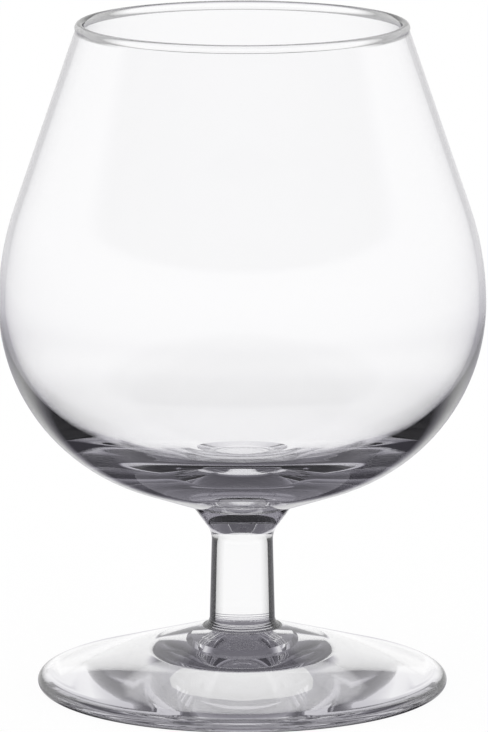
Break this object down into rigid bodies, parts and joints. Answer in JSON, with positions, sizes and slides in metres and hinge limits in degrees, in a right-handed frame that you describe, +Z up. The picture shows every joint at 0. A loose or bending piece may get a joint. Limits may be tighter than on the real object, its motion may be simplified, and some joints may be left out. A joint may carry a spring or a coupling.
{
  "type": "brandy snifter",
  "caption": "Clear glass brandy snifter: a wide round bowl that narrows to a beaded mouth, on a short flared stem and a round hollow foot.",
  "frame": {"origin": "centre of the foot on the plane that the glass stands on", "axes": "+Z up along the axis of revolution, from the foot to the rim; +X and +Y lie in the table plane"},
  "size_m": [0.08, 0.08, 0.1107],
  "materials": {
    "clear_glass": "clear soda-lime glass, fire-polished"
  },
  "bodies": {
    "root": {"bowl": "clear_glass", "stem": "clear_glass", "foot": "clear_glass"}
  },
  "joints": []
}
